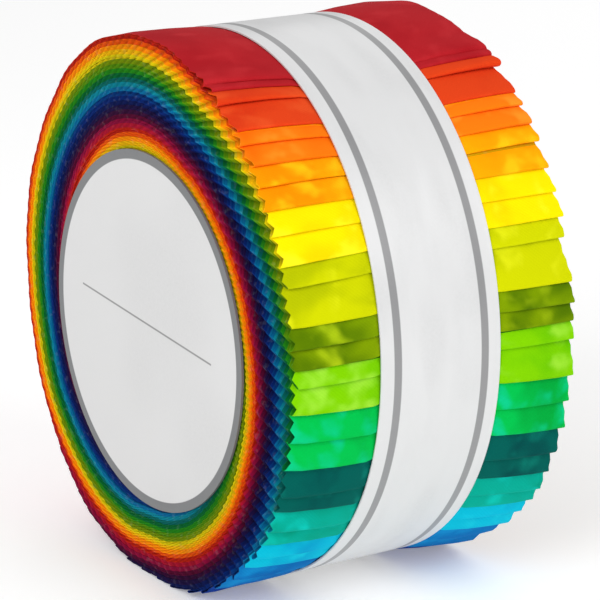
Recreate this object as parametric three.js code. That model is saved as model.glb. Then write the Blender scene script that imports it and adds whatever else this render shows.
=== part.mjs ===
// A jelly roll: forty pinked cotton strips, each folded once across its length, laid in a stack and
// wound into one fat roll, with a paper band round its waist and a round paper disc on one face.
// Millimetres, +Z up. The roll's axis runs along Y and the face with the disc looks along -Y.
import * as THREE from 'three';

// Sizes of the roll
const STRIP_WIDTH = 63.5;        // a two and a half inch strip: the length of the roll along Y
const STRIP_COUNT = 40;          // twenty colours, two strips of each
const FRONT_RADIUS = 57.1;       // mean radius at the rim of the face with the disc
const BACK_RADIUS = 57.9;        // mean radius at the rim of the plain face
const AXIS_HEIGHT = 56.95;       // the roll rests on a small flat spot under this height
const TOOTH_PITCH = 3.1;         // pinked edge: distance between two points
const TOOTH_DEPTH = 1.6;         // pinked edge: from the points to the notches
const STEP_DROP = 1.15;          // how far a strip's folded end stands over the next strip
const LIP_LENGTH_DEG = 0.35;     // arc in which that drop happens
const FACE_TURNS = 3;            // times the stack goes round from the eye to the rim
const STRANDS_A_TURN = 4;        // ridges and troughs that show the turns on a face
const FACE_DEPTH = 1.3;          // mean depth of the face behind the points of the teeth
const FACE_RELIEF = 0.65;        // height of those ridges and depth of those troughs
const FACE_COLUMNS = 72;
const ROOT_INSET = 2.6;          // the outermost layers, between the rim and the first face ring
const EYE = { x: -2.6, z: -3.4, radius: 5.5, pit: 1.2 };

// Sizes of the two paper pieces
const GAP = 0.3;
const PAPER = 1.0;
const BAND = { yFront: -13.4, yBack: 15.2, radius: 56.85, lift: 0.3, columns: 120 };
const DISC = { x: -1.2, z: -3.05, radius: 37.6, yFront: -32.6, columns: 96 };

// The wound outline is a little out of round: parts of the radius, by harmonic of the angle
const OUT_OF_ROUND = [
  { times: 2, cosine: -0.0174, sine: 0.0063 },
  { times: 3, cosine: 0.0044, sine: -0.0064 },
  { times: 4, cosine: -0.0043, sine: -0.0019 },
];

// Where the folded ends of the strips lie, as clock angles seen from the face with the disc.
// The strips in between are spread evenly from one row to the next.
const STRIP_ENDS = [
  { strip: 1, clock: 28.0 },
  { strip: 3, clock: 33.2 },
  { strip: 4, clock: 39.5 },
  { strip: 8, clock: 56.5 },
  { strip: 11, clock: 71.0 },
  { strip: 12, clock: 79.5 },
  { strip: 16, clock: 97.7 },
  { strip: 20, clock: 119.5 },
  { strip: 24, clock: 139.5 },
  { strip: 28, clock: 162.0 },
  { strip: 34, clock: 199.0 },
  { strip: 40, clock: 238.0 },
];

// Rings along the side of the roll: the waist under the band is plain, the cloth flares beside it
const SIDE_RINGS = [
  { y: -28.4, radius: 57.45, steps: 1.0, floor: 0 },
  { y: -14.3, radius: 56.95, steps: 0.8, floor: 0 },
  { y: -13.75, radius: 55.45, steps: 0, floor: 1.6 },
  { y: 15.55, radius: 55.45, steps: 0, floor: 1.6 },
  { y: 16.1, radius: 57.05, steps: 0.8, floor: 0 },
  { y: 28.4, radius: 58.1, steps: 1.0, floor: 0 },
];

const HALF_WIDTH = STRIP_WIDTH / 2;
const DEG = Math.PI / 180;

// Radius of the outline at a clock angle, as a share of the mean radius
function roundness(clock) {
  const angle = (90 - clock) * DEG;
  let share = 1;
  for (const part of OUT_OF_ROUND) {
    share += part.cosine * Math.cos(part.times * angle) + part.sine * Math.sin(part.times * angle);
  }
  return share;
}

// Clock angle at which one strip ends
function stripEnd(strip) {
  for (let i = 1; i < STRIP_ENDS.length; i += 1) {
    const low = STRIP_ENDS[i - 1];
    const high = STRIP_ENDS[i];
    if (strip <= high.strip) {
      const share = (strip - low.strip) / (high.strip - low.strip);
      return low.clock + share * (high.clock - low.clock);
    }
  }
  return STRIP_ENDS[STRIP_ENDS.length - 1].clock;
}

// Columns round the side: a point and a notch of the pinked edge by turns, and, at each strip's
// end, one column on the fold and one just past it, at the foot of the step.
function sideColumns() {
  const teeth = Math.round((2 * Math.PI * FRONT_RADIUS) / TOOTH_PITCH);
  const half = 360 / (2 * teeth);
  const columns = [];
  for (let i = 0; i < 2 * teeth; i += 1) {
    columns.push({ clock: i * half, notch: i % 2, drop: 0 });
  }
  const folds = [];
  for (let strip = 1; strip <= STRIP_COUNT; strip += 1) {
    const at = Math.round(stripEnd(strip) / half);
    folds.push(at);
  }
  const first = folds[0];
  const last = folds[folds.length - 1];
  for (let k = 1; k < folds.length; k += 1) {
    for (let i = folds[k - 1] + 1; i <= folds[k]; i += 1) {
      const share = (i - folds[k - 1]) / (folds[k] - folds[k - 1]);
      columns[i].drop = STEP_DROP * (1 - share);
    }
  }
  // past the last fold the long outer strip rises to the outline again
  for (let i = last + 1; i < last + 6; i += 1) {
    columns[i].drop = STEP_DROP * (1 - (i - last) / 6);
  }
  const feet = [];
  for (const at of folds) {
    if (at < first) continue;
    const notch = at % 2 ? 0.75 : 0.25;
    feet.push({ clock: at * half + LIP_LENGTH_DEG, notch, drop: STEP_DROP });
  }
  return columns.concat(feet).sort((a, b) => a.clock - b.clock);
}

// A closed body put together from shared points
class Body {
  constructor() {
    this.points = [];
    this.faces = [];
  }

  add(x, y, z) {
    this.points.push(x, y, z);
    return this.points.length / 3 - 1;
  }

  face(a, b, c) {
    if (a !== b && b !== c && c !== a) this.faces.push(a, b, c);
  }

  // quads between two rings with the same number of points, the first one nearer the disc
  skin(ringA, ringB) {
    const count = ringA.length;
    for (let i = 0; i < count; i += 1) {
      const j = (i + 1) % count;
      this.face(ringA[i], ringA[j], ringB[j]);
      this.face(ringA[i], ringB[j], ringB[i]);
    }
  }

  // triangles between two rows of { id, at } whose places run the same way
  zip(rowA, rowB) {
    let i = 0;
    let j = 0;
    while (i < rowA.length - 1 || j < rowB.length - 1) {
      const nextA = i < rowA.length - 1 ? rowA[i + 1].at : Infinity;
      const nextB = j < rowB.length - 1 ? rowB[j + 1].at : Infinity;
      if (nextA <= nextB) {
        this.face(rowA[i].id, rowB[j].id, rowA[i + 1].id);
        i += 1;
      } else {
        this.face(rowA[i].id, rowB[j].id, rowB[j + 1].id);
        j += 1;
      }
    }
  }

  mesh(name, colour, roughness) {
    const geometry = new THREE.BufferGeometry();
    geometry.setAttribute('position', new THREE.Float32BufferAttribute(this.points, 3));
    geometry.setIndex(this.faces);
    geometry.computeVertexNormals();
    const material = new THREE.MeshStandardMaterial({ color: colour, roughness, metalness: 0 });
    const mesh = new THREE.Mesh(geometry, material);
    mesh.name = name;
    return mesh;
  }
}

// A point of the roll from its clock angle and radius, kept above the floor
function place(body, clock, radius, y, floor) {
  const x = radius * Math.sin(clock * DEG);
  const z = AXIS_HEIGHT + radius * Math.cos(clock * DEG);
  return body.add(x, y, Math.max(z, floor));
}

// One face of the roll. The turns run outwards clockwise, seen from the face with the disc.
// side is -1 on the face with the disc and +1 on the plain one; inner is where the turns start.
function rollFace(body, rim, rimRadius, side, inner) {
  const depth = (relief) => side * (HALF_WIDTH - FACE_DEPTH + relief);
  const pitch = 1 / FACE_TURNS;
  const spacing = pitch / STRANDS_A_TURN;
  const columns = [];
  for (let c = 0; c < FACE_COLUMNS; c += 1) {
    const turn = c / FACE_COLUMNS;
    const clock = 360 * turn;
    const edge = rimRadius * roundness(clock) - ROOT_INSET;
    const row = [];
    const point = (share, relief) => {
      const radius = EYE.radius + share * (edge - EYE.radius);
      const x = EYE.x * (1 - share) + radius * Math.sin(clock * DEG);
      const z = AXIS_HEIGHT + EYE.z * (1 - share) + radius * Math.cos(clock * DEG);
      row.push({ id: body.add(x, depth(relief), z), at: share });
    };
    point(inner, 0);
    for (let m = -STRANDS_A_TURN; m < FACE_TURNS * STRANDS_A_TURN; m += 1) {
      const share = spacing * (m + STRANDS_A_TURN * turn);
      if (share > inner + 0.2 * spacing && share < 1 - 0.2 * spacing) {
        const relief = FACE_RELIEF * Math.min(1, 4 * share);
        point(share, m % 2 === 0 ? relief : -relief);
      }
    }
    point(1, 0.4);
    columns.push(row);
  }
  // in the middle, a shallow pit on the plain face and a flat under the disc
  const pit = inner > 0 ? 0 : EYE.pit;
  const middle = body.add(EYE.x, depth(-pit), AXIS_HEIGHT + EYE.z);
  for (let c = 0; c < FACE_COLUMNS; c += 1) {
    const here = columns[c];
    const next = columns[(c + 1) % FACE_COLUMNS];
    if (side < 0) {
      body.zip(here, next);
      body.face(middle, next[0].id, here[0].id);
    } else {
      body.zip(next, here);
      body.face(middle, here[0].id, next[0].id);
    }
  }
  const root = columns.map((row, c) => ({ id: row[row.length - 1].id, at: c / FACE_COLUMNS }));
  root.push({ id: root[0].id, at: 1 });
  const edge = rim.concat([{ id: rim[0].id, at: 1 }]);
  if (side < 0) body.zip(edge, root);
  else body.zip(root, edge);
}

// The wound cloth: toothed rims, shingled folded ends round the right side, both faces
function fabricRoll() {
  const body = new Body();
  const columns = sideColumns();
  const ring = (radius, steps, floor, yOf) => columns.map((column) => {
    const outer = radius * roundness(column.clock) - steps * column.drop;
    return place(body, column.clock, outer, yOf(column), floor);
  });
  const front = ring(FRONT_RADIUS, 1, 0, (column) => -HALF_WIDTH + TOOTH_DEPTH * column.notch);
  const back = ring(BACK_RADIUS, 1, 0, (column) => HALF_WIDTH - TOOTH_DEPTH * column.notch);
  const rings = [front];
  for (const row of SIDE_RINGS) rings.push(ring(row.radius, row.steps, row.floor, () => row.y));
  rings.push(back);
  for (let i = 1; i < rings.length; i += 1) body.skin(rings[i - 1], rings[i]);
  const rim = (ids) => ids.map((id, i) => ({ id, at: columns[i].clock / 360 }));
  rollFace(body, rim(front), FRONT_RADIUS, -1, 0.58);
  rollFace(body, rim(back), BACK_RADIUS, 1, 0);
  return body.mesh('fabric_roll', 0xf07a1e, 0.9);
}

// The paper band round the waist, drawn tight over the cloth
function paperBand() {
  const body = new Body();
  const ring = (radius, y, floor) => {
    const ids = [];
    for (let i = 0; i < BAND.columns; i += 1) {
      const clock = (360 * i) / BAND.columns;
      ids.push(place(body, clock, radius * roundness(clock), y, floor));
    }
    return ids;
  };
  const outer = (y) => ring(BAND.radius, y, BAND.lift);
  const inner = (y) => ring(BAND.radius - PAPER, y, BAND.lift + PAPER);
  const outerFront = outer(BAND.yFront);
  const outerBack = outer(BAND.yBack);
  const innerBack = inner(BAND.yBack);
  const innerFront = inner(BAND.yFront);
  body.skin(outerFront, outerBack);
  body.skin(outerBack, innerBack);
  body.skin(innerBack, innerFront);
  body.skin(innerFront, outerFront);
  return body.mesh('paper_band', 0xe9e9e8, 0.7);
}

// The round paper disc laid on the face
function paperDisc() {
  const geometry = new THREE.CylinderGeometry(DISC.radius, DISC.radius, PAPER, DISC.columns);
  geometry.translate(DISC.x, DISC.yFront + PAPER / 2, AXIS_HEIGHT + DISC.z);
  const colour = new THREE.MeshStandardMaterial({ color: 0xdededd, roughness: 0.7, metalness: 0 });
  const mesh = new THREE.Mesh(geometry, colour);
  mesh.name = 'paper_disc';
  return mesh;
}

const group = new THREE.Group();
group.name = 'jelly_roll';
group.add(fabricRoll(), paperBand(), paperDisc());

export default group;
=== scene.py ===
# %% [markdown]
# # A roll of quilting strips, modelled the way it is made
#
# Quilters buy cotton cut into strips two and a half inches wide. Forty of them are sold wound up in one
# fat roll. A paper band holds it at the waist and a round paper disc lies on one face.
#
# A maker lays twenty colours in rainbow order, two strips of each, folds every strip once across its
# length, and winds the whole stack at once. The roll could be faked with one cylinder and a picture of
# stripes, but then no fold would cast a shadow and no edge would fray. So every strip is made here as
# a real thin sheet that runs along its own spiral, round its fold and back again.
#
# The whole scene is in metres and shares its frame with the solid model: the roll stands on the floor
# at z = 0, its axis runs along Y, and the disc looks along -Y.

import math

import bpy
import numpy as np
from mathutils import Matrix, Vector


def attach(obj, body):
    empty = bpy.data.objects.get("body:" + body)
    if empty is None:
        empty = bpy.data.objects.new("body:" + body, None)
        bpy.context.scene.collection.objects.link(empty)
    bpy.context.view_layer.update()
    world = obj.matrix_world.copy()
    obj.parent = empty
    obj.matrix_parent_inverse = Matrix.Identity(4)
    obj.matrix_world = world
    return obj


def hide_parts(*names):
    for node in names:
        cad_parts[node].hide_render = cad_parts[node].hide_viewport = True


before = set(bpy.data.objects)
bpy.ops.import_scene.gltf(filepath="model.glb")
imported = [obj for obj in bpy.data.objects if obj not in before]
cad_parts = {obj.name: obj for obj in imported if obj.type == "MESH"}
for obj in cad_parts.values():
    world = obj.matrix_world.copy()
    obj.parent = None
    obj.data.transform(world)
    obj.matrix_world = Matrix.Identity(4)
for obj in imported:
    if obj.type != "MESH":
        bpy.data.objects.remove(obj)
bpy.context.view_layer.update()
MM = 0.001

# %% [markdown]
# ## Camera
#
# The camera stands where the photographer stood: to the right of the disc's face, a little above it,
# and about sixty centimetres away. A long lens keeps the two faces nearly the same size. The small
# shift only slides the picture, it doesn't change the perspective.

# %% Place the camera
HEIGHT = 56.95           # of the roll's axis above the floor, in mm
CAMERA = {
    "azimuth": 57.83, "elevation": 16.11, "distance": 0.6242,
    "lens": 178.9, "sensor": 36, "shift": (0.0268, -0.0082), "nearest": 0.01,
}


def direction(azimuth, elevation):
    """Unit vector from the roll towards a viewer at that angle."""
    a, e = math.radians(azimuth), math.radians(elevation)
    return Vector((math.sin(a) * math.cos(e), -math.cos(a) * math.cos(e), math.sin(e)))


camera = bpy.data.objects.new("camera", bpy.data.cameras.new("camera"))
bpy.context.scene.collection.objects.link(camera)
back = direction(CAMERA["azimuth"], CAMERA["elevation"])
camera.location = Vector((0, 0, HEIGHT * MM)) + back * CAMERA["distance"]
camera.rotation_euler = (-back).to_track_quat("-Z", "Y").to_euler()
camera.data.lens = CAMERA["lens"]
camera.data.sensor_width = CAMERA["sensor"]
camera.data.shift_x, camera.data.shift_y = CAMERA["shift"]
camera.data.clip_start = CAMERA["nearest"]
bpy.context.scene.camera = camera
print("camera at, mm:", [round(v / MM) for v in camera.location])

# %% [markdown]
# ## Floor and light
#
# The photo shows the roll on white with soft light from the upper left and front. Large area lamps
# give soft shadows, and a pale world fills them in, so that dark cloth keeps its colour. The floor
# glows a little, like a light table, which keeps it white and lifts the underside. The picture is shown
# with the plain standard curve, because a film-like curve would bleach the bright dyes.

# %% Make the floor and the lamps
def make_mesh(name, points, faces):
    """A mesh object linked to the scene."""
    mesh = bpy.data.meshes.new(name)
    mesh.from_pydata(points, [], faces)
    obj = bpy.data.objects.new(name, mesh)
    bpy.context.scene.collection.objects.link(obj)
    return obj


def plain_material(name, colour, roughness):
    """A material with one colour."""
    material = bpy.data.materials.new(name)
    material.use_nodes = True
    shader = material.node_tree.nodes["Principled BSDF"]
    shader.inputs["Base Color"].default_value = (*colour, 1)
    shader.inputs["Roughness"].default_value = roughness
    return material


FLOOR_HALF = 4.0         # metres
FLOOR_WHITE, FLOOR_ROUGHNESS, FLOOR_GLOW = (0.93, 0.93, 0.93), 0.9, 0.24
ROOM_LIGHT = 0.56
corners = [(-1, -1), (1, -1), (1, 1), (-1, 1)]
floor = make_mesh("floor", [(x * FLOOR_HALF, y * FLOOR_HALF, 0) for x, y in corners], [(0, 1, 2, 3)])
pale = plain_material("pale floor", FLOOR_WHITE, FLOOR_ROUGHNESS)
glow = pale.node_tree.nodes["Principled BSDF"].inputs
glow["Emission Color"].default_value = (1, 1, 1, 1)
glow["Emission Strength"].default_value = FLOOR_GLOW
floor.data.materials.append(pale)

world = bpy.data.worlds.new("soft room")
world.use_nodes = True
world.node_tree.nodes["Background"].inputs["Color"].default_value = (1, 1, 1, 1)
world.node_tree.nodes["Background"].inputs["Strength"].default_value = ROOM_LIGHT
bpy.context.scene.world = world
bpy.context.scene.view_settings.view_transform = "Standard"

# each lamp: the angle it shines from, its distance and size in metres, and its power in watts
LAMPS = [
    {"name": "key", "azimuth": 30, "elevation": 32, "distance": 0.9, "size": 0.5, "power": 3.4},
    {"name": "side", "azimuth": 112, "elevation": 33, "distance": 1.0, "size": 0.6, "power": 2.4},
    {"name": "back", "azimuth": 215, "elevation": 35, "distance": 1.1, "size": 0.8, "power": 1.4},
]
for row in LAMPS:
    lamp = bpy.data.lights.new(row["name"], "AREA")
    lamp.energy, lamp.size = row["power"], row["size"]
    holder = bpy.data.objects.new(row["name"], lamp)
    towards = direction(row["azimuth"], row["elevation"])
    holder.location = Vector((0, 0, HEIGHT * MM)) + towards * row["distance"]
    holder.rotation_euler = (-towards).to_track_quat("-Z", "Y").to_euler()
    bpy.context.scene.collection.objects.link(holder)
print("lamps:", [row["name"] for row in LAMPS])

# %% [markdown]
# ## The outline of the roll
#
# A wound roll is never quite round. Its radius is a mean value times a slow wave, and it is pressed
# flat where it rests. The cloth flares a little at both rims and is drawn in under the band. These
# numbers started from the solid model's, so that the cloth fills the solid's place.

# %% Describe the outline
HALF_WIDTH = 31.75
FRONT_RADIUS, BACK_RADIUS = 57.1, 57.9
OUT_OF_ROUND = [
    {"times": 2, "cosine": -0.0174, "sine": 0.0063},
    {"times": 3, "cosine": 0.0044, "sine": -0.0064},
    {"times": 4, "cosine": -0.0043, "sine": -0.0019},
]
BAND = {"front": -13.0, "back": 15.2, "radius": 56.85, "lift": 0.3, "paper": 0.3}
# places along the width, with how far the cloth is drawn in there below a straight line from rim to rim
SIDE_PROFILE = [
    {"y": -31.75, "drawn_in": 0.0},
    {"y": -28.4, "drawn_in": -0.25},
    {"y": -24.5, "drawn_in": -0.1},
    {"y": -21.0, "drawn_in": 0.0},
    {"y": -14.6, "drawn_in": 0.45},
    {"y": -12.6, "drawn_in": 1.05},
    {"y": 14.4, "drawn_in": 1.35},
    {"y": 16.4, "drawn_in": 0.75},
    {"y": 22.0, "drawn_in": 0.1},
    {"y": 28.4, "drawn_in": -0.25},
    {"y": 31.75, "drawn_in": 0.0},
]
PROFILE_Y = np.array([row["y"] for row in SIDE_PROFILE])
PROFILE_IN = np.array([row["drawn_in"] for row in SIDE_PROFILE])
EYE = {"x": -2.6, "z": -3.4, "radius": 0.9}
print("roll, mm:", 2 * HALF_WIDTH, "wide and", 2 * FRONT_RADIUS, "to", 2 * BACK_RADIUS, "across")

# %% [markdown]
# ## The front shoulder
#
# Handling has pressed the front rim in on the side where the folds lie. Near the top it has turned the
# cloth back by a few degrees as well, so that the folds there don't run quite straight across. Both
# fade out at the band's edge. The solid model has no shoulder: this one belongs to the cloth.

# %% Describe the front shoulder
# how far the front rim is pressed in, round the clock: most where the folds lie, and elsewhere it
# stands out a little instead
SHOULDER = [
    {"clock": 0, "pressed": 0.4},
    {"clock": 22, "pressed": 2.0},
    {"clock": 45, "pressed": 2.8},
    {"clock": 90, "pressed": 3.0},
    {"clock": 120, "pressed": 2.8},
    {"clock": 140, "pressed": 1.8},
    {"clock": 160, "pressed": 0.3},
    {"clock": 185, "pressed": 0.0},
    {"clock": 215, "pressed": -0.4},
    {"clock": 235, "pressed": -0.4},
    {"clock": 252, "pressed": -0.2},
    {"clock": 275, "pressed": -0.8},
    {"clock": 295, "pressed": -0.7},
    {"clock": 315, "pressed": -0.3},
    {"clock": 341, "pressed": -0.6},
    {"clock": 360, "pressed": 0.4},
]
SHOULDER_CLOCK = [row["clock"] for row in SHOULDER]
SHOULDER_PRESSED = [row["pressed"] for row in SHOULDER]
# how far the cloth is turned back at the front rim, in degrees, round the clock
TWIST_CLOCK = [0, 28, 40, 50, 60, 72, 300, 360]
TWIST_DEGREES = [3.4, 3.4, 2.3, 1.3, 0.5, 0, 0, 3.4]
SHOULDER_CURVE = 1.3     # how roundly the shoulder slopes in from the band's edge to the rim


def to_front_rim(y):
    """0 from the band's front edge back, 1 at the front rim."""
    return np.clip((BAND["front"] - y) / (HALF_WIDTH + BAND["front"]), 0, 1)


print("pressed in by up to", max(SHOULDER_PRESSED), "mm, turned by up to", max(TWIST_DEGREES), "degrees")

# %% [markdown]
# ## From the outline to points
#
# A point of the cloth is placed by its clock angle, its depth between the eye of the winding and the
# outside, and its place along the width. Two small waves keep the rims from looking turned on a lathe.

# %% Place points in the roll
DRAWN_IN_DEPTH = 40      # how quickly the drawing in fades from one layer to the next
# two waves round the clock that fade towards the middle of the width and inwards
SLOW_WAVE = {"height": 0.22, "times": 9, "shift": 40}
QUICK_WAVE = {"height": 0.16, "times": 23, "slant": 0.05}
WAVE_ACROSS, WAVE_INWARDS = 4, 20
BAND_MARGIN = 0.3        # how far beyond the band's edges the cloth is held off the floor
BAND_ROOM = 0.1          # air between the cloth and the band's paper under the roll
FLOOR_ROOM = 0.02        # how far the outline itself stays above the floor
LEAST_DOWN = 1e-6        # a ray that doesn't point down counts as pointing down this little


def roundness(clock):
    """The outline's radius at a clock angle, as a share of the mean."""
    angle = np.radians(90 - clock)
    share = np.ones_like(angle)
    for part in OUT_OF_ROUND:
        share = share + part["cosine"] * np.cos(part["times"] * angle)
        share = share + part["sine"] * np.sin(part["times"] * angle)
    return share


def above_floor(radius, clock, floor_gap):
    """The radius, cut off where it would come nearer the floor than the gap."""
    down = np.maximum(-np.cos(np.radians(clock)), LEAST_DOWN)
    return np.minimum(radius, (HEIGHT - floor_gap) / down)


def outline(clock, y, depth_share):
    """Radius from the middle of a layer that lies at that share of the way from the eye to the rim."""
    straight = FRONT_RADIUS + (BACK_RADIUS - FRONT_RADIUS) * (y + HALF_WIDTH) / (2 * HALF_WIDTH)
    depth_share = np.minimum(depth_share, 1)
    drawn = np.interp(y, PROFILE_Y, PROFILE_IN) * depth_share**DRAWN_IN_DEPTH
    wave = SLOW_WAVE["height"] * np.sin(np.radians(SLOW_WAVE["times"] * clock + SLOW_WAVE["shift"]))
    slant = y * QUICK_WAVE["slant"]
    wave = wave + QUICK_WAVE["height"] * np.sin(np.radians(QUICK_WAVE["times"] * clock) + slant)
    wave = wave * (np.abs(y) / HALF_WIDTH) ** WAVE_ACROSS * depth_share**WAVE_INWARDS
    slope = to_front_rim(y) ** SHOULDER_CURVE
    pressed = np.interp(clock % 360, SHOULDER_CLOCK, SHOULDER_PRESSED) * slope
    radius = straight * roundness(clock) - drawn - pressed + wave
    # the flat spot on the floor, with the waist held clear of the band's paper
    under_band = (y > BAND["front"] - BAND_MARGIN) & (y < BAND["back"] + BAND_MARGIN)
    floor_gap = np.where(under_band, BAND["lift"] + BAND["paper"] + BAND_ROOM, FLOOR_ROOM)
    return above_floor(radius, clock, floor_gap)


def in_space(clock, depth_share, y, lift=0.0):
    """Points in mm for clock angles, depths and places along the width."""
    clock = clock - np.interp(clock % 360, TWIST_CLOCK, TWIST_DEGREES) * to_front_rim(y)
    radius = EYE["radius"] * (1 - depth_share) + depth_share * outline(clock, y, depth_share) + lift
    x = EYE["x"] * (1 - depth_share) + radius * np.sin(np.radians(clock))
    z = HEIGHT + EYE["z"] * (1 - depth_share) + radius * np.cos(np.radians(clock))
    return np.stack([x, np.broadcast_to(y, x.shape), z], axis=-1)


quarters = outline(np.array([0.0, 90, 180, 270]), -HALF_WIDTH, 1.0)
print("outline at twelve, three, six and nine o'clock:", quarters.round(1))

# %% [markdown]
# ## The order of the colours
#
# The strips lie in rainbow order from the outside in: red, orange, yellow, green, blue, violet and
# back to red. Each colour has a body tone, a deeper tone for its blotches, a lighter one for where the
# dye took less, and the tone of its stacked cut edges, which is partly their own colour and partly
# painted shade. The values are plain sRGB, set one by one until each strip's mean tone came close to
# the photo's, and are turned into linear light for the shader.

# %% List the dyes
TONES = ("body", "deep", "light", "edge")
DYE_ROWS = [
    ("red", (180, 31, 39), (170, 25, 34), (187, 38, 45), (190, 34, 16)),
    ("vermilion", (224, 66, 24), (214, 54, 20), (230, 78, 32), (238, 88, 10)),
    ("orange", (252, 124, 14), (246, 104, 2), (255, 148, 36), (255, 148, 4)),
    ("amber", (252, 168, 2), (248, 144, 0), (255, 194, 16), (245, 190, 8)),
    ("yellow", (253, 230, 0), (244, 210, 0), (255, 242, 30), (225, 205, 9)),
    ("chartreuse", (204, 210, 0), (176, 186, 0), (222, 226, 20), (120, 148, 4)),
    ("moss", (124, 154, 0), (80, 114, 0), (164, 190, 18), (88, 144, 8)),
    ("lime", (126, 204, 0), (100, 188, 0), (156, 222, 56), (36, 136, 24)),
    ("emerald", (0, 188, 76), (0, 164, 60), (10, 198, 134), (2, 106, 50)),
    ("bottle", (0, 92, 84), (0, 68, 68), (6, 118, 104), (4, 106, 100)),
    ("jade", (0, 168, 146), (0, 146, 116), (6, 196, 180), (8, 136, 156)),
    ("turquoise", (0, 190, 218), (0, 160, 204), (24, 208, 226), (4, 108, 158)),
    ("azure", (0, 116, 186), (0, 94, 168), (12, 140, 204), (2, 56, 124)),
    ("royal", (4, 56, 144), (2, 42, 120), (20, 76, 168), (4, 38, 110)),
    ("midnight", (10, 34, 108), (6, 24, 84), (24, 52, 130), (12, 26, 86)),
    ("indigo", (34, 20, 76), (24, 10, 56), (52, 34, 96), (30, 16, 66)),
    ("plum", (72, 14, 66), (54, 6, 50), (94, 28, 84), (56, 12, 56)),
    ("wine", (112, 8, 62), (92, 2, 48), (136, 24, 78), (86, 7, 48)),
    ("crimson", (158, 12, 62), (136, 4, 48), (178, 30, 78), (140, 12, 58)),
    ("cherry", (184, 22, 54), (164, 12, 42), (198, 40, 66), (174, 20, 48)),
]
DYES = [dict(zip(("name", *TONES), row)) for row in DYE_ROWS]
STRIPS_A_COLOUR = 2
STRIP_COUNT = len(DYES) * STRIPS_A_COLOUR


def linear(colour):
    """sRGB out of 255 as linear light."""
    out = []
    for part in colour:
        share = part / 255
        out.append(share / 12.92 if share <= 0.04045 else ((share + 0.055) / 1.055) ** 2.4)
    return out


print(STRIP_COUNT, "strips in", len(DYES), "colours")

# %% [markdown]
# ## How the stack is wound
#
# Winding is counting: a layer's depth is the number of layers beneath it, over the number of layers on
# that ray. The strips start one after another during the first turn, innermost first, and then the
# whole stack climbs over itself, forty layers a turn. Their folded ends lie like shingles from one
# o'clock round to eight o'clock. Working with counts keeps the layers from ever crossing.
#
# The layers are not equally thick. Where the folds lie, from one to five o'clock, the outer layers are
# springy and stand apart. That slack is added as extra layers, most of it near the surface.

# %% Describe the winding
TURNS = 3.9
# the clock angle of each fold, from the first strip's on; past the twenty-fourth they are guessed,
# because the photo doesn't show them
END_CLOCK = np.array([
    25.6, 27.6, 30.9, 38.0, 41.2, 45.7, 49.9, 55.1, 60.1, 65.7,
    70.0, 78.5, 82.8, 86.9, 90.7, 97.4, 103.5, 109.7, 116.3, 121.1,
    126.9, 131.0, 136.2, 141.3, 148.0, 156.0, 162.0, 168.0, 174.5, 181.0,
    187.0, 193.0, 199.0, 205.0, 211.0, 216.5, 222.0, 227.5, 233.0, 238.0,
])
FIRST_CLOCK = END_CLOCK[-1] - 360 * TURNS
END_TURN = (END_CLOCK - FIRST_CLOCK) / 360
START_TURN = (STRIP_COUNT - np.arange(1, STRIP_COUNT + 1)) / STRIP_COUNT
# where in the first turn the stack begins to climb onto itself, and over how much of a turn
CLIMB_FROM, CLIMB_OVER = 0.9, 0.1


def ease(share):
    """From 0 to 1 with a slow start and a slow end."""
    return share * share * (3 - 2 * share)


def layers_under(strip, turn):
    """How many layers lie under a strip at a place along the winding."""
    start = START_TURN[strip - 1]
    climb = np.clip((turn - CLIMB_FROM) / CLIMB_OVER, 0, 1)
    return STRIP_COUNT * (np.maximum(turn, 1) - 1 + start) + ease(climb)


TOP_COUNT = np.array([layers_under(k, END_TURN[k - 1]) + 1 for k in range(1, STRIP_COUNT + 1)])
RAY_CLOCK = np.concatenate([END_CLOCK, [END_CLOCK[0] + 360]])
RAY_LAYERS = np.concatenate([TOP_COUNT, [TOP_COUNT[0]]])


def layers_on_ray(clock):
    """How many layers a ray from the eye crosses at a clock angle."""
    turned = (clock - RAY_CLOCK[0]) % 360 + RAY_CLOCK[0]
    return np.interp(turned, RAY_CLOCK, RAY_LAYERS)


# how many layers' worth of slack lies among the outer layers, round the clock
SLACK = [
    {"clock": 0, "layers": 2.0},
    {"clock": 22, "layers": 4.0},
    {"clock": 45, "layers": 6.0},
    {"clock": 95, "layers": 6.0},
    {"clock": 120, "layers": 5.0},
    {"clock": 140, "layers": 3.0},
    {"clock": 160, "layers": 1.5},
    {"clock": 190, "layers": 0.0},
    {"clock": 310, "layers": 0.0},
    {"clock": 338, "layers": 1.0},
    {"clock": 360, "layers": 2.0},
]
SLACK_REACH = 8.5        # the slack fades over this many layers from the outside in
SLACK_CLOCK = [row["clock"] for row in SLACK]
SLACK_LAYERS = [row["layers"] for row in SLACK]
# where the plies of a folded strip lie, as a share of the way out through it
OUTER_PLY, BETWEEN_PLIES, INNER_PLY = 0.75, 0.5, 0.25


def depth_of(strip, turn, ply):
    """Depth share of one ply of a strip.

    Past the strip's own fold the share goes on growing beyond 1, as if the strip were longer.
    """
    clock = FIRST_CLOCK + 360 * turn
    layers = layers_on_ray(clock)
    above = layers - layers_under(strip, turn) - ply
    slack = np.interp(clock % 360, SLACK_CLOCK, SLACK_LAYERS)
    return 1 - (above + slack * (1 - np.exp(-np.maximum(above, 0) / SLACK_REACH))) / (layers + slack)


print("layers on the rays at the first and the last fold:", TOP_COUNT[0].round(1), TOP_COUNT[-1].round(1))

# %% [markdown]
# ## Pinked edges
#
# The strips are cut with a toothed blade so that they don't fray: little points, three millimetres
# apart and one deep. All the strips of a stack are cut together, so their points line up
# in one place on the face and drift apart from there, which draws slanted ridges across it. That
# drift comes out by itself when every layer carries its points at an even spacing along its length. The
# strips that end early are lined up too, at the place they would have reached had they been longer.

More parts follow.
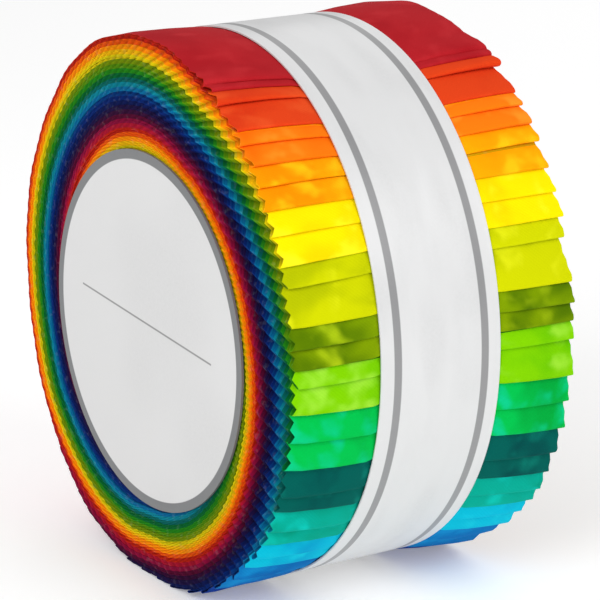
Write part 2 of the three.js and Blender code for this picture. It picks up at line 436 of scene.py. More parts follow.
# %% Find the points of the teeth along every layer
TOOTH_PITCH = 2.9
ALIGNED_CLOCK = 112.0    # where the points of all layers line up, on the last turn
FOLD_ROOM = 0.9          # length kept back for the round of the fold
PATH_SAMPLES = 6000      # places along a layer at which its length is measured
PATH_START, PATH_BEYOND = 1e-4, 0.01     # turns by which that path starts late and runs on
LAST_ROOM = 0.15         # the column at the fold keeps this share of half a tooth from the one before
aligned_turn = TURNS - (END_CLOCK[-1] - ALIGNED_CLOCK) / 360


def tooth_places(strip, ply):
    """Columns of a ply: the turn, 0 at a point of a tooth and 1 in a notch, and the length left."""
    turn = np.linspace(START_TURN[strip - 1] + PATH_START, TURNS + PATH_BEYOND, PATH_SAMPLES)
    clock = FIRST_CLOCK + 360 * turn
    middle = in_space(clock, depth_of(strip, turn, ply), np.zeros_like(turn))
    along = np.concatenate([[0], np.cumsum(np.linalg.norm(np.diff(middle, axis=0), axis=1))])
    aligned = np.interp(aligned_turn, turn, along)
    end = np.interp(END_TURN[strip - 1], turn, along) - FOLD_ROOM
    half = TOOTH_PITCH / 2
    steps = np.arange(math.ceil(-aligned / half), math.floor((end - aligned) / half - LAST_ROOM) + 1)
    # a last column right at the fold, part way up or down its tooth
    last = (end - aligned) / half
    steps = np.append(steps, last)
    notch = np.abs((steps + 1) % 2 - 1)
    return np.interp(aligned + steps * half, along, turn), notch, end - (aligned + steps * half)


lengths = [tooth_places(k, BETWEEN_PLIES)[2][0] for k in (1, 20, 40)]
print("folded lengths of strips 1, 20 and 40, mm:", [round(v) for v in lengths])

# %% [markdown]
# ## Where the roll is uneven
#
# A real roll isn't even. It is wound tight but for the side where the folds lie. No two folds lift or
# slant alike, and every strip lies a touch to one side of its neighbours. The draws are seeded, so the
# same roll comes out every time.

# %% Settle the unevenness
# how tightly the roll is wound, round the clock
TIGHT_CLOCK = [0, 25, 60, 125, 150, 165, 180, 345, 360]
TIGHT_SHARE = [0.8, 0.45, 0.1, 0.1, 0.6, 0.9, 1, 1, 0.8]
BULGE_SPREAD, SKEW_SPREAD, SHIFT_SPREAD = 0.25, 0.6, 0.15
LOOSE_FOLDS, LOOSE_BULGE = 3, 1.7        # the outermost folds are held by nothing above them

rng = np.random.default_rng(40)
BULGE_SHARE = rng.uniform(1 - BULGE_SPREAD, 1 + BULGE_SPREAD, STRIP_COUNT)
BULGE_SHARE[:LOOSE_FOLDS] *= LOOSE_BULGE
END_SKEW = rng.uniform(-SKEW_SPREAD, SKEW_SPREAD, STRIP_COUNT)           # degrees
SIDE_SHIFT = rng.uniform(-SHIFT_SPREAD, SHIFT_SPREAD, STRIP_COUNT)       # mm


def tightness(turn):
    """1 where the roll is wound tight, 0 where its folds lie."""
    return np.interp((FIRST_CLOCK + 360 * turn) % 360, TIGHT_CLOCK, TIGHT_SHARE)


print("strips lie to one side by up to, mm:", np.abs(SIDE_SHIFT).max().round(2))

# %% [markdown]
# ## Teeth and tucked edges
#
# A tooth is a step to and fro along the width, from a point to a notch. Where the roll is wound tight,
# the teeth press flat and the outermost edges are tucked back. The back corners of the folds stand out
# a little, because nothing holds them there.

# %% Shape the edges
BARE_ROW = np.array([-HALF_WIDTH, HALF_WIDTH])
TOOTH_DEPTH = 1.0
TUCK_DEPTH = 0.5         # how far the outermost edge is tucked back where the rim is rounded
TUCK_REACH = 1.8         # how far in from the rim the rounding starts
RIM_SMOOTH = 0.6         # how much of their depth the teeth lose there
TIGHT_TOOTH = 0.28       # where it is wound tight, the teeth keep this share of their depth
BACK_TOOTH = 0.3         # and at the back this share of that
CORE_DEPTH, RIM_DEPTH = 0.70, 0.88
CORE_TOOTH = 0.5         # the share of their depth that the teeth keep at the first of these depths
BACK_CORNER = 0.8        # how far the back corner of a fold stands out
CORNER_REACH = 6.0       # length over which it does
SWAY, SWAY_RATE = 0.1, 4.8               # a slow sway to the side along each strip


def edge_places(row, notch, strip, turn, depth, ply, left):
    """Places along the width for one column, with its teeth, tucks and side step."""
    wander = SIDE_SHIFT[strip - 1] + SWAY * math.sin(SWAY_RATE * turn + strip)
    y = row + wander * (np.abs(row) / HALF_WIDTH) ** 2
    tight = tightness(turn)
    from_rim = max(1 - (1 - depth) * FRONT_RADIUS / TUCK_REACH, 0)
    tuck = TUCK_DEPTH * tight * from_rim**2
    tooth = TOOTH_DEPTH * (1 - (1 - TIGHT_TOOTH) * tight) * (1 - RIM_SMOOTH * tight * from_rim)
    tooth = tooth * np.interp(depth, [CORE_DEPTH, RIM_DEPTH], [CORE_TOOTH, 1])
    back_notch = notch if ply == OUTER_PLY else 1 - notch
    y[0] += tuck + tooth * notch
    corner = BACK_CORNER * math.exp(-max(left, 0) / CORNER_REACH)
    y[-1] -= tuck + BACK_TOOTH * tooth * back_notch - corner
    return y


first_edges = edge_places(BARE_ROW.copy(), 1, 1, END_TURN[0], 1.0, OUTER_PLY, 0)
print("edges of the first strip, in a notch at its fold, mm:", first_edges.round(1))

# %% [markdown]
# ## The path of one strip
#
# The path of a strip runs out along the upper ply, round the fold and back along the lower one. At
# every tooth it has a row of points from one pinked edge to the other. Deep in the roll only the two
# edges show, so there the row has just two points. Near the surface it has eleven, which let the cloth
# flare at the rims and draw in under the band. A fold is springy and lifts its upper ply, least where
# the band holds it.

# %% Lay out the path of a strip
SURFACE_DEPTH = 0.94     # layers beyond this share of the way out get the full row of points
NOTCH_SHADE = 0.6        # painted shade: how dark the bottom of a notch is painted where the layers stand apart
TIGHT_SHADE = 0.35       # and where they are wound tight
FLOOR_CLEAR = 0.1        # no point of the path comes nearer the floor than this
UNDER_LIP = 0.004        # the cloth counts as open this part of a turn before the fold above it ends
FOLD_BULGE = 0.35        # how far a springy fold lifts its upper ply
FOLD_REACH = 7.0         # length over which it lifts
FRONT_HELD = 0.8         # how much less it lifts at the front where the roll is wound tight
# how freely a fold lifts, by the distance from about the band's middle
BAND_MIDDLE = 0.9
FREE_DISTANCE, FREE_SHARE = [13.9, 15.5, 19, 27, 31], [0.15, 0.6, 1.0, 1.4, 2.2]
SKEW_REACH = 15          # length over which the slant of a fold fades
FOLD_STEPS = 5           # columns round the fold
FOLD_ROUND = 0.25        # how far the round of a fold reaches beyond half its thickness


def ply_columns(strip, ply):
    """Rows of points in mm along one ply, from its inner start to the fold."""
    columns = []
    above_ends = END_TURN[strip - 2] if strip > 1 else END_TURN[-1] - 1
    for turn, notch, left in zip(*tooth_places(strip, ply)):
        depth = min(depth_of(strip, turn, ply), 1)
        row = PROFILE_Y if depth > SURFACE_DEPTH else BARE_ROW
        y = edge_places(row.copy(), notch, strip, turn, depth, ply, left)
        t = turn + END_SKEW[strip - 1] / 360 * y / HALF_WIDTH * math.exp(-left / SKEW_REACH)
        lift = 0.0
        if ply == OUTER_PLY and left < FOLD_REACH:
            share = 1 - max(left, 0) / FOLD_REACH
            free = np.interp(np.abs(y - BAND_MIDDLE), FREE_DISTANCE, FREE_SHARE)
            free = free * np.where(y < 0, 1 - FRONT_HELD * tightness(turn), 1)
            lift = FOLD_BULGE * BULGE_SHARE[strip - 1] * free * ease(share)
        points = in_space(FIRST_CLOCK + 360 * t, np.minimum(depth_of(strip, t, ply), 1), y, lift)
        points[:, 2] = np.maximum(points[:, 2], FLOOR_CLEAR)
        tight = tightness(turn)
        # painted shade: the shade mark darkens the colour at the bottom of each notch, where little light
        # gets in
        shade = notch * (NOTCH_SHADE * (1 - tight) + TIGHT_SHADE * tight)
        columns.append({"points": points, "shade": shade, "open": turn > above_ends - UNDER_LIP})
    return columns


def strip_columns(strip):
    """The whole path of a strip: out along the upper ply, round the fold and back."""
    upper, lower = ply_columns(strip, OUTER_PLY), ply_columns(strip, INNER_PLY)
    top, bottom = upper[-1]["points"], lower[-1]["points"]
    ahead = top - upper[-2]["points"]
    ahead = ahead / np.linalg.norm(ahead, axis=1, keepdims=True)
    middle, reach = (top + bottom) / 2, (top - bottom) / 2
    size = np.linalg.norm(reach, axis=1, keepdims=True)
    fold = []
    for i in range(1, FOLD_STEPS + 1):
        angle = math.pi * i / (FOLD_STEPS + 1)
        points = middle + reach * math.cos(angle) + ahead * (size + FOLD_ROUND) * math.sin(angle)
        points[:, 2] = np.maximum(points[:, 2], FLOOR_CLEAR)
        fold.append({"points": points, "shade": 0.0, "open": True})
    for column in lower:
        column["open"] = False
    return upper + fold + lower[::-1]


for k in (1, STRIP_COUNT):
    print("strip", k, "has", len(strip_columns(k)), "columns")

# %% [markdown]
# ## The sheet along that path
#
# Each strip is one closed thin sheet: the path's points moved half a ply's thickness out and in, with
# faces over, under and along the edges. The mesh also keeps two marks for the material: which faces
# lie within the stack, and how much painted shade each point gets between the teeth. A flat map of the
# cloth goes with it, so that weave and dye run along the strip.

# %% Make the forty strips
PLY_THICKNESS = 0.17
SHARP_ANGLE = 35         # edges sharper than this, in degrees, stay crisp


def strip_mesh(strip):
    """The strip's points, faces, marks and places on the cloth."""
    columns = strip_columns(strip)
    count = len(columns)
    # the sheet's own direction outwards, from the path's run in the X-Z plane
    edge = np.array([c["points"][[0, -1]] for c in columns])
    run = np.gradient(edge.mean(axis=1), axis=0)
    run[:, 1] = 0
    run /= np.linalg.norm(run, axis=1, keepdims=True)
    outward = np.stack([-run[:, 2], np.zeros(count), run[:, 0]], axis=1)
    along = np.concatenate([[0], np.cumsum(np.linalg.norm(np.diff(edge.mean(axis=1), axis=0), axis=1))])
    points, cloth, shade, rings = [], [], [], []
    for c, (column, normal) in enumerate(zip(columns, outward)):
        base, n = len(points), len(column["points"])
        for sign in (0.5, -0.5):
            points.extend(column["points"] + normal * PLY_THICKNESS * sign)
            cloth.extend((along[c] * MM, p[1] * MM) for p in column["points"])
            shade.extend([column["shade"]] * n)
        rings.append((list(range(base, base + n)), list(range(base + n, base + 2 * n)), column["open"]))

    faces, within = [], []
    for (up_a, low_a, open_a), (up_b, low_b, open_b) in zip(rings[:-1], rings[1:]):
        # faces within the stack take the stacked edge colour with its painted shade
        hidden = 0 if open_a and open_b else 1
        if len(up_a) == len(up_b):
            for i in range(len(up_a) - 1):
                faces.append((up_a[i], up_b[i], up_b[i + 1], up_a[i + 1]))
                faces.append((low_a[i], low_a[i + 1], low_b[i + 1], low_b[i]))
                within += [hidden, 1]
        else:
            faces += [(*up_b, *up_a[::-1]), (*low_a, *low_b[::-1])]
            within += [hidden, 1]
        faces.append((up_a[0], low_a[0], low_b[0], up_b[0]))
        faces.append((up_a[-1], up_b[-1], low_b[-1], low_a[-1]))
        within += [1, 1]
    up, low, _ = rings[0]
    faces.append((*up, *low[::-1]))
    up, low, _ = rings[-1]
    faces.append((*low, *up[::-1]))
    within += [1, 1]
    return np.array(points) * MM, faces, within, shade, cloth


def mark(mesh, name, domain, values):
    """Store a number for every face or point, for the material to read."""
    layer = mesh.attributes.new(name, "FLOAT", domain)
    layer.data.foreach_set("value", np.array(values, dtype=np.float32))


def make_strip(strip):
    """The strip as an object, with a cloth map and its two marks."""
    points, faces, within, shade, cloth = strip_mesh(strip)
    dye = DYES[(strip - 1) // STRIPS_A_COLOUR]["name"]
    obj = make_mesh(f"strip_{strip:02d}_{dye}", points.tolist(), faces)
    mesh = obj.data
    layer = mesh.uv_layers.new(name="cloth")
    loops = np.empty(len(mesh.loops), dtype=np.int32)
    mesh.loops.foreach_get("vertex_index", loops)
    layer.data.foreach_set("uv", np.array(cloth, dtype=np.float32)[loops].ravel())
    mark(mesh, "within", "FACE", within)
    # the shade mark: painted shade between the teeth
    mark(mesh, "shade", "POINT", shade)
    mesh.shade_smooth()
    mesh.set_sharp_from_angle(angle=math.radians(SHARP_ANGLE))
    return obj


strips = [make_strip(k) for k in range(1, STRIP_COUNT + 1)]
triangles = sum(len(p.vertices) - 2 for s in strips for p in s.data.polygons)
print(len(strips), "strips,", triangles, "triangles")

# %% [markdown]
# ## The dye
#
# The cloth is dyed in a mottled way: soft blotches of a deeper and a lighter tone swim in the body
# colour. Two noises on the cloth's own map do it, a slow one for the deep blotches and a quicker one
# for the light spots. Because the map runs along each strip, the blotches bend with the cloth. It is
# one node group, placed in twenty materials with their own colours.

# %% Make the mottled dye group
# the slow noise of the deep blotches and the quick one of the light spots, each with the range of its
# values over which a blotch fades in
BLOTCHES = {"Scale": 85.0, "Detail": 2.0, "Roughness": 0.45, "Distortion": 0.25}
SPOTS = {"Scale": 150.0, "Detail": 2.0, "Roughness": 0.45, "Distortion": 0.15}
BLOTCH_RANGE, SPOT_RANGE = (0.45, 0.70), (0.50, 0.72)


def new_group(name, inputs, outputs):
    """An empty shader node group with named sockets."""
    group = bpy.data.node_groups.new(name, "ShaderNodeTree")
    for title, kind, value in inputs:
        socket = group.interface.new_socket(name=title, in_out="INPUT", socket_type=kind)
        socket.default_value = value
    for title, kind in outputs:
        group.interface.new_socket(name=title, in_out="OUTPUT", socket_type=kind)
    return group, group.nodes.new("NodeGroupInput"), group.nodes.new("NodeGroupOutput")


def add(tree, kind, links=(), **settings):
    """A node with its settings. Each link is an input's name or number with a socket or a value."""
    node = tree.nodes.new(kind)
    for key, value in settings.items():
        setattr(node, key, value)
    for where, source in links:
        if isinstance(source, bpy.types.NodeSocket):
            tree.links.new(source, node.inputs[where])
        else:
            node.inputs[where].default_value = source
    return node


def noise(tree, place, character):
    """The value socket of a noise with the given scale, detail and so on."""
    return add(tree, "ShaderNodeTexNoise", [("Vector", place), *character.items()]).outputs["Fac"]


def smooth_mask(tree, value, span):
    """0 below the span, 1 above it and smooth between."""
    links = [("Value", value), ("From Min", span[0]), ("From Max", span[1])]
    return add(tree, "ShaderNodeMapRange", links, interpolation_type="SMOOTHSTEP").outputs[0]


def mix_colours(tree, factor, a, b):
    """The colour socket of a mix of two colours."""
    return add(tree, "ShaderNodeMix", [(0, factor), (6, a), (7, b)], data_type="RGBA").outputs[2]


dye_group, dye_in, dye_out = new_group(
    "mottled dye",
    [
        ("Body", "NodeSocketColor", (1, 1, 1, 1)),
        ("Deep", "NodeSocketColor", (1, 1, 1, 1)),
        ("Light", "NodeSocketColor", (1, 1, 1, 1)),
        ("Seed", "NodeSocketFloat", 0.0),
    ],
    [("Colour", "NodeSocketColor")],
)
cloth_map = add(dye_group, "ShaderNodeUVMap", uv_map="cloth")
split = add(dye_group, "ShaderNodeSeparateXYZ", [(0, cloth_map.outputs["UV"])])
where = add(
    dye_group,
    "ShaderNodeCombineXYZ",
    [("X", split.outputs["X"]), ("Y", split.outputs["Y"]), ("Z", dye_in.outputs["Seed"])],
)
deep_mask = smooth_mask(dye_group, noise(dye_group, where.outputs[0], BLOTCHES), BLOTCH_RANGE)
light_mask = smooth_mask(dye_group, noise(dye_group, where.outputs[0], SPOTS), SPOT_RANGE)
darker = mix_colours(dye_group, deep_mask, dye_in.outputs["Body"], dye_in.outputs["Deep"])
lighter = mix_colours(dye_group, light_mask, darker, dye_in.outputs["Light"])
dye_group.links.new(lighter, dye_out.inputs["Colour"])
print("group:", dye_group.name, len(dye_group.nodes), "nodes")

# %% [markdown]
# ## The weave, and the cut edge with its painted shade
#
# Quilting cotton is a plain weave, about twenty-four threads to the centimetre, too fine to model, so
# it is bump: two waves at right angles on the cloth's map.
#
# Seen end on, a stack of cut edges looks deeper than the open cloth, because light sinks in between
# the threads, and deepest down in the notches. That shade is painted into the colour: the edge tone
# is partly the threads' own colour and partly painted shade, and the sheet's marks say where it is
# darkened further with painted shade down in the notches. A little pale fuzz of thread ends catches
# the light, most of all on the points.

# %% Make the weave and the stacked edge groups
FUZZ_NOISE, FUZZ_RANGE = {"Scale": 700.0, "Detail": 2.0}, (0.55, 0.72)

weave_group, weave_in, weave_out = new_group(
    "plain weave",
    [("Threads per metre", "NodeSocketFloat", 2400.0)],
    [("Height", "NodeSocketFloat")],
)
weave_map = add(weave_group, "ShaderNodeUVMap", uv_map="cloth")
weave_split = add(weave_group, "ShaderNodeSeparateXYZ", [(0, weave_map.outputs["UV"])])
waves = []
for axis in ("X", "Y"):
    run = [(0, weave_split.outputs[axis]), (1, weave_in.outputs["Threads per metre"])]
    turns = add(weave_group, "ShaderNodeMath", run, operation="MULTIPLY")
    angle = add(weave_group, "ShaderNodeMath", [(0, turns.outputs[0]), (1, math.pi)], operation="MULTIPLY")
    waves.append(add(weave_group, "ShaderNodeMath", [(0, angle.outputs[0])], operation="SINE").outputs[0])
crossed = add(weave_group, "ShaderNodeMath", [(0, waves[0]), (1, waves[1])], operation="MULTIPLY")
weave_group.links.new(crossed.outputs[0], weave_out.inputs["Height"])

edge_group, edge_in, edge_out = new_group(
    "stacked edge",
    [
        ("Open cloth", "NodeSocketColor", (1, 1, 1, 1)),
        ("Edge", "NodeSocketColor", (1, 1, 1, 1)),
        ("Raw thread", "NodeSocketColor", (1, 1, 1, 1)),
        ("Painted shade in notches", "NodeSocketFloat", 0.4),
        ("Fuzz", "NodeSocketFloat", 0.1),
    ],
    [("Colour", "NodeSocketColor")],
)
within_mark = add(edge_group, "ShaderNodeAttribute", attribute_name="within")
shade_mark = add(edge_group, "ShaderNodeAttribute", attribute_name="shade")
place = add(edge_group, "ShaderNodeTexCoord")
fibre = smooth_mask(edge_group, noise(edge_group, place.outputs["Object"], FUZZ_NOISE), FUZZ_RANGE)
fuzz = add(
    edge_group, "ShaderNodeMath", [(0, fibre), (1, edge_in.outputs["Fuzz"])], operation="MULTIPLY",
)
fuzzy = mix_colours(edge_group, fuzz.outputs[0], edge_in.outputs["Edge"], edge_in.outputs["Raw thread"])
# painted shade: the edge colour is darkened by the shade mark, down to the tone in the notches
shading = [
    ("Value", shade_mark.outputs["Fac"]), ("To Min", 1.0), ("To Max", edge_in.outputs["Painted shade in notches"]),
]
tone = add(edge_group, "ShaderNodeMapRange", shading)
painted_shade_edge = add(edge_group, "ShaderNodeVectorMath", [(0, fuzzy), ("Scale", tone.outputs[0])], operation="SCALE")
placed = mix_colours(
    edge_group, within_mark.outputs["Fac"], edge_in.outputs["Open cloth"], painted_shade_edge.outputs[0],
)
edge_group.links.new(placed, edge_out.inputs["Colour"])
print("groups:", weave_group.name, "and", edge_group.name)

# %% [markdown]
# ## Twenty cotton materials
#
# Every colour gets its own material from the three groups. Cotton is matt with a faint sheen from its
# loose fibres. The sheen is the same all over, so it is set on the shader itself.

# %% Make the cotton materials and dress the strips
FUZZ = 0.06
# the tone kept at the bottom of a notch is painted shade
PAINTED_NOTCH_TONE = 0.25
WEAVE_BUMP, THREAD_HEIGHT = 0.12, 0.0001
COTTON_ROUGHNESS = 0.88
COTTON_GLOSS = {"Specular IOR Level": 0.04, "Sheen Weight": 0.01, "Sheen Roughness": 0.5}
RAW_WHITE, RAW_DYE = 0.55, 0.45          # raw thread is this much white and this much of the light tone
SEED_STEP = 0.37         # sets the blotches of one colour apart from the next


def use_group(tree, group):
    """A copy of a node group placed in a material."""
    node = tree.nodes.new("ShaderNodeGroup")
    node.node_tree = group
    return node


def cotton(dye, seed):
    """A mottled cotton in one dye."""
    material = plain_material(f"cotton {dye['name']}", linear(dye["body"]), COTTON_ROUGHNESS)
    tree = material.node_tree
    shader = tree.nodes["Principled BSDF"]
    for socket, value in COTTON_GLOSS.items():
        shader.inputs[socket].default_value = value
    dyed = use_group(tree, dye_group)
    for socket, tone in (("Body", "body"), ("Deep", "deep"), ("Light", "light")):
        dyed.inputs[socket].default_value = (*linear(dye[tone]), 1)
    dyed.inputs["Seed"].default_value = seed
    edged = use_group(tree, edge_group)
    tree.links.new(dyed.outputs["Colour"], edged.inputs["Open cloth"])
    # the edge tone is partly painted shade of the stacked edges
    edged.inputs["Edge"].default_value = (*linear(dye["edge"]), 1)
    pale = [RAW_WHITE + RAW_DYE * part for part in linear(dye["light"])]
    edged.inputs["Raw thread"].default_value = (*pale, 1)
    edged.inputs["Fuzz"].default_value = FUZZ
    edged.inputs["Painted shade in notches"].default_value = PAINTED_NOTCH_TONE
    tree.links.new(edged.outputs["Colour"], shader.inputs["Base Color"])
    woven = use_group(tree, weave_group)
    relief = [("Strength", WEAVE_BUMP), ("Distance", THREAD_HEIGHT), ("Height", woven.outputs["Height"])]
    bump = add(tree, "ShaderNodeBump", relief)
    tree.links.new(bump.outputs["Normal"], shader.inputs["Normal"])
    return material


cottons = [cotton(dye, SEED_STEP * i) for i, dye in enumerate(DYES)]
for k, obj in enumerate(strips):
    obj.data.materials.append(cottons[k // STRIPS_A_COLOUR])
    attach(obj, "root")
    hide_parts("fabric_roll")
print(len(cottons), "cottons on", len(strips), "strips")

# %% [markdown]
# ## Paper
#
# Paper is never quite flat or even. One group gives both papers a fine grain of fibres and shallow
# buckles, with a little painted shade that greys the paper in the hollows. The buckles run in long
# streaks round the roll, so their noise is squeezed along the width.

# %% Make the paper group
FIBRES = {"Scale": 1600.0, "Detail": 3.0, "Roughness": 0.6}
BUCKLE_NOISE = {"Detail": 1.5, "Roughness": 0.4}
SQUEEZE = (1.0, 2.6, 1.0)
HOLLOW_SHADE_RANGE = (0.42, 0.66)
HOLLOW_SHADE_TONE = 0.9        # painted shade: the share of its brightness that the paper keeps in its hollows
GRAIN_BUMP, GRAIN_HEIGHT = 0.12, 0.0001
BUCKLE_HEIGHT = 0.002

paper_group, paper_in, paper_out = new_group(
    "pressed paper",
    [
        ("Printed", "NodeSocketColor", (1, 1, 1, 1)),
        ("Shaded", "NodeSocketColor", (0.9, 0.9, 0.9, 1)),
        ("Buckles per metre", "NodeSocketFloat", 40.0),
    ],
    [("Colour", "NodeSocketColor"), ("Grain", "NodeSocketFloat"), ("Buckle", "NodeSocketFloat")],
)
paper_place = add(paper_group, "ShaderNodeTexCoord").outputs["Object"]
fibres = noise(paper_group, paper_place, FIBRES)
squeezed = add(paper_group, "ShaderNodeVectorMath", [(0, paper_place), (1, SQUEEZE)], operation="MULTIPLY")
streaks = {"Scale": paper_in.outputs["Buckles per metre"], **BUCKLE_NOISE}
buckles = noise(paper_group, squeezed.outputs[0], streaks)
# painted shade: this mask greys the paper where the buckle noise is high, broken up by the fibres
hollow_shade = smooth_mask(paper_group, buckles, HOLLOW_SHADE_RANGE)
shaded = add(paper_group, "ShaderNodeMath", [(0, hollow_shade), (1, fibres)], operation="MULTIPLY").outputs[0]
shaded_paper = mix_colours(paper_group, shaded, paper_in.outputs["Printed"], paper_in.outputs["Shaded"])
paper_group.links.new(shaded_paper, paper_out.inputs["Colour"])
paper_group.links.new(fibres, paper_out.inputs["Grain"])
paper_group.links.new(buckles, paper_out.inputs["Buckle"])


def finish_paper(material, printed, buckling):
    """Lead printed colour through the paper group and give the sheet its grain and buckles."""
    tree = material.node_tree
    shader = tree.nodes["Principled BSDF"]
    paper = use_group(tree, paper_group)
    paper.inputs["Buckles per metre"].default_value = buckling["per metre"]
    tree.links.new(printed, paper.inputs["Printed"])
    # painted shade: the printed colour scaled down for the hollows
    shade = add(tree, "ShaderNodeVectorMath", [(0, printed), ("Scale", HOLLOW_SHADE_TONE)], operation="SCALE")
    tree.links.new(shade.outputs[0], paper.inputs["Shaded"])
    tree.links.new(paper.outputs["Colour"], shader.inputs["Base Color"])
    normal = None
    for output, strength, height in (
        ("Grain", GRAIN_BUMP, GRAIN_HEIGHT), ("Buckle", buckling["strength"], BUCKLE_HEIGHT),
    ):
        relief = [("Strength", strength), ("Distance", height), ("Height", paper.outputs[output])]
        bump = add(tree, "ShaderNodeBump", relief)
        if normal:
            tree.links.new(normal, bump.inputs["Normal"])
        normal = bump.outputs["Normal"]
    tree.links.new(normal, shader.inputs["Normal"])


print("group:", paper_group.name, len(paper_group.nodes), "nodes")

# %% [markdown]
# ## The paper band
#
# A strip of smooth white paper is drawn tight round the waist and glued to itself. It is a closed thin
# ring that follows the same out-of-round outline and the flat spot.

# %% Make the band
BAND_COLUMNS = 360
PAPER_CORNER = 40        # edges sharper than this, in degrees, stay crisp


def band_ring(y, radius, floor_gap):
    """Points of one edge of the band's paper."""
    clock = np.arange(BAND_COLUMNS) * 360 / BAND_COLUMNS
    r = above_floor(radius * roundness(clock), clock, floor_gap)
    x, z = r * np.sin(np.radians(clock)), HEIGHT + r * np.cos(np.radians(clock))
    return np.stack([x, np.full_like(r, y), z], axis=1)


outer, inner = BAND["radius"], BAND["radius"] - BAND["paper"]
low, high = BAND["lift"], BAND["lift"] + BAND["paper"]
rings = [
    band_ring(BAND["front"], outer, low), band_ring(BAND["back"], outer, low),
    band_ring(BAND["back"], inner, high), band_ring(BAND["front"], inner, high),
]
band_faces = []
for r in range(len(rings)):
    a, b = r * BAND_COLUMNS, (r + 1) % len(rings) * BAND_COLUMNS
    for i in range(BAND_COLUMNS):
        j = (i + 1) % BAND_COLUMNS
        band_faces.append((a + i, a + j, b + j, b + i))
band = make_mesh("paper_band_ring", (np.concatenate(rings) * MM).tolist(), band_faces)
band.data.shade_smooth()
band.data.set_sharp_from_angle(angle=math.radians(PAPER_CORNER))
print("band, mm:", round(BAND["back"] - BAND["front"], 1), "wide")

# %% [markdown]
# ## Printing on the band
#
# The band's two grey stripes are printed, so they are colour only, picked out by their place along the
# width. The rest of the band stays bare.

# %% Print the band
PAPER_WHITE, BAND_ROUGHNESS = (0.69, 0.692, 0.695), 0.32
STRIPE_GREY = (0.27, 0.27, 0.275)
STRIPES = [{"y": -9.1, "width": 1.75}, {"y": 11.5, "width": 1.75}]
PRINT_SOFT = 0.08        # how soft the edge of a printed line is, in mm
BAND_BUCKLING = {"per metre": 45.0, "strength": 0.35}


def stripe_mask(tree, distance, start, width):
    """1 where a distance lies between start and start + width, with a soft printed edge."""
    soft = PRINT_SOFT * MM
    edges = []
    for place in (start, start + width):
        span = [("Value", distance), ("From Min", place - soft), ("From Max", place + soft)]
        edges.append(add(tree, "ShaderNodeMapRange", span).outputs[0])
    return add(tree, "ShaderNodeMath", [(0, edges[0]), (1, edges[1])], operation="SUBTRACT").outputs[0]


band_paper = plain_material("white band paper", PAPER_WHITE, BAND_ROUGHNESS)
tree = band_paper.node_tree
spot = add(tree, "ShaderNodeTexCoord")
parts = add(tree, "ShaderNodeSeparateXYZ", [(0, spot.outputs["Object"])])
printed = (*PAPER_WHITE, 1)
for stripe in STRIPES:
    start = (stripe["y"] - stripe["width"] / 2) * MM
    mask = stripe_mask(tree, parts.outputs["Y"], start, stripe["width"] * MM)
    printed = mix_colours(tree, mask, printed, (*STRIPE_GREY, 1))
finish_paper(band_paper, printed, BAND_BUCKLING)
band.data.materials.append(band_paper)
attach(band, "root")
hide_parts("paper_band")
print("stripes at, mm:", [stripe["y"] for stripe in STRIPES])

# %% [markdown]
# ## The paper disc
#
# A round of pale card covers the middle of one face. It is a short closed cylinder.

# %% Make the disc
DISC = {"x": -1.2, "z": -3.05, "radius": 37.6, "front": -32.6, "card": 0.5, "columns": 192}
turn = np.arange(DISC["columns"]) * 2 * np.pi / DISC["columns"]
disc_points = []
for y in (DISC["front"], DISC["front"] + DISC["card"]):
    for a in turn:
        x, z = DISC["x"] + DISC["radius"] * math.sin(a), HEIGHT + DISC["z"] + DISC["radius"] * math.cos(a)
        disc_points.append((x, y, z))
n = DISC["columns"]
disc_faces = [tuple(range(n))[::-1], tuple(range(n, 2 * n))]
disc_faces += [(i, (i + 1) % n, n + (i + 1) % n, n + i) for i in range(n)]
disc = make_mesh("paper_disc_card", (np.array(disc_points) * MM).tolist(), disc_faces)
disc.data.set_sharp_from_angle(angle=math.radians(PAPER_CORNER))
print("disc, mm:", 2 * DISC["radius"], "across")

# %% [markdown]
# ## Printing on the disc
#
# A grey ring is printed at the disc's rim and one thin plain rule across it, both picked out by their
# distance: the ring from the disc's middle, the rule from a line. Nothing else is printed on it here.

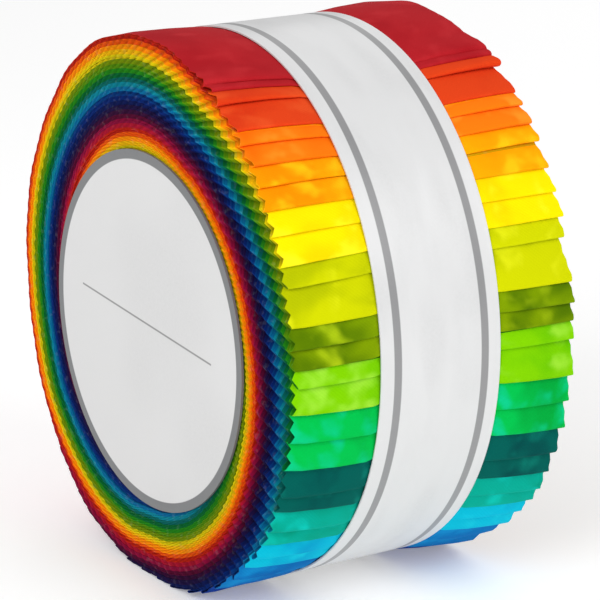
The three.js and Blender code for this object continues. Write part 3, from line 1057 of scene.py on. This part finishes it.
# %% Print the disc
RING_WIDTH = 2.0
CARD_GREY, RING_GREY, RULE_GREY = (0.66, 0.66, 0.66), (0.17, 0.175, 0.18), (0.26, 0.26, 0.26)
CARD_ROUGHNESS = 0.5
# the rule's ends, across and up from the disc's middle, and its width
RULE = {"start": (-26.7, 3.9), "end": (26.0, -0.25), "width": 0.4}
DISC_BUCKLING = {"per metre": 25.0, "strength": 0.1}

card = plain_material("pale card", CARD_GREY, CARD_ROUGHNESS)
tree = card.node_tree
spot = add(tree, "ShaderNodeTexCoord")
centre = (DISC["x"] * MM, 0, (HEIGHT + DISC["z"]) * MM)
moved = add(tree, "ShaderNodeVectorMath", [(0, spot.outputs["Object"]), (1, centre)], operation="SUBTRACT")
flat = add(tree, "ShaderNodeVectorMath", [(0, moved.outputs[0]), (1, (1, 0, 1))], operation="MULTIPLY")
distance = add(tree, "ShaderNodeVectorMath", [(0, flat.outputs[0])], operation="LENGTH")
ring = stripe_mask(tree, distance.outputs["Value"], (DISC["radius"] - RING_WIDTH) * MM, RING_WIDTH * 2 * MM)
ringed = mix_colours(tree, ring, (*CARD_GREY, 1), (*RING_GREY, 1))
# the rule: how far along it and how far beside it a point lies
rule_start, rule_end = Vector(RULE["start"]), Vector(RULE["end"])
rule_run = (rule_end - rule_start).normalized()
rule_side = Vector((-rule_run.y, rule_run.x))
rule_masks = []
for run, begin, size in (
    (rule_run, rule_start.dot(rule_run), (rule_end - rule_start).length),
    (rule_side, rule_start.dot(rule_side) - RULE["width"] / 2, RULE["width"]),
):
    along = [(0, flat.outputs[0]), (1, (run.x, 0, run.y))]
    reach = add(tree, "ShaderNodeVectorMath", along, operation="DOT_PRODUCT")
    rule_masks.append(stripe_mask(tree, reach.outputs["Value"], begin * MM, size * MM))
crossed = add(tree, "ShaderNodeMath", [(0, rule_masks[0]), (1, rule_masks[1])], operation="MULTIPLY")
ruled = mix_colours(tree, crossed.outputs[0], ringed, (*RULE_GREY, 1))
finish_paper(card, ruled, DISC_BUCKLING)
disc.data.materials.append(card)
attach(disc, "root")
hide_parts("paper_disc")
print("ring, mm:", RING_WIDTH, "wide, rule:", round((rule_end - rule_start).length, 1), "long")
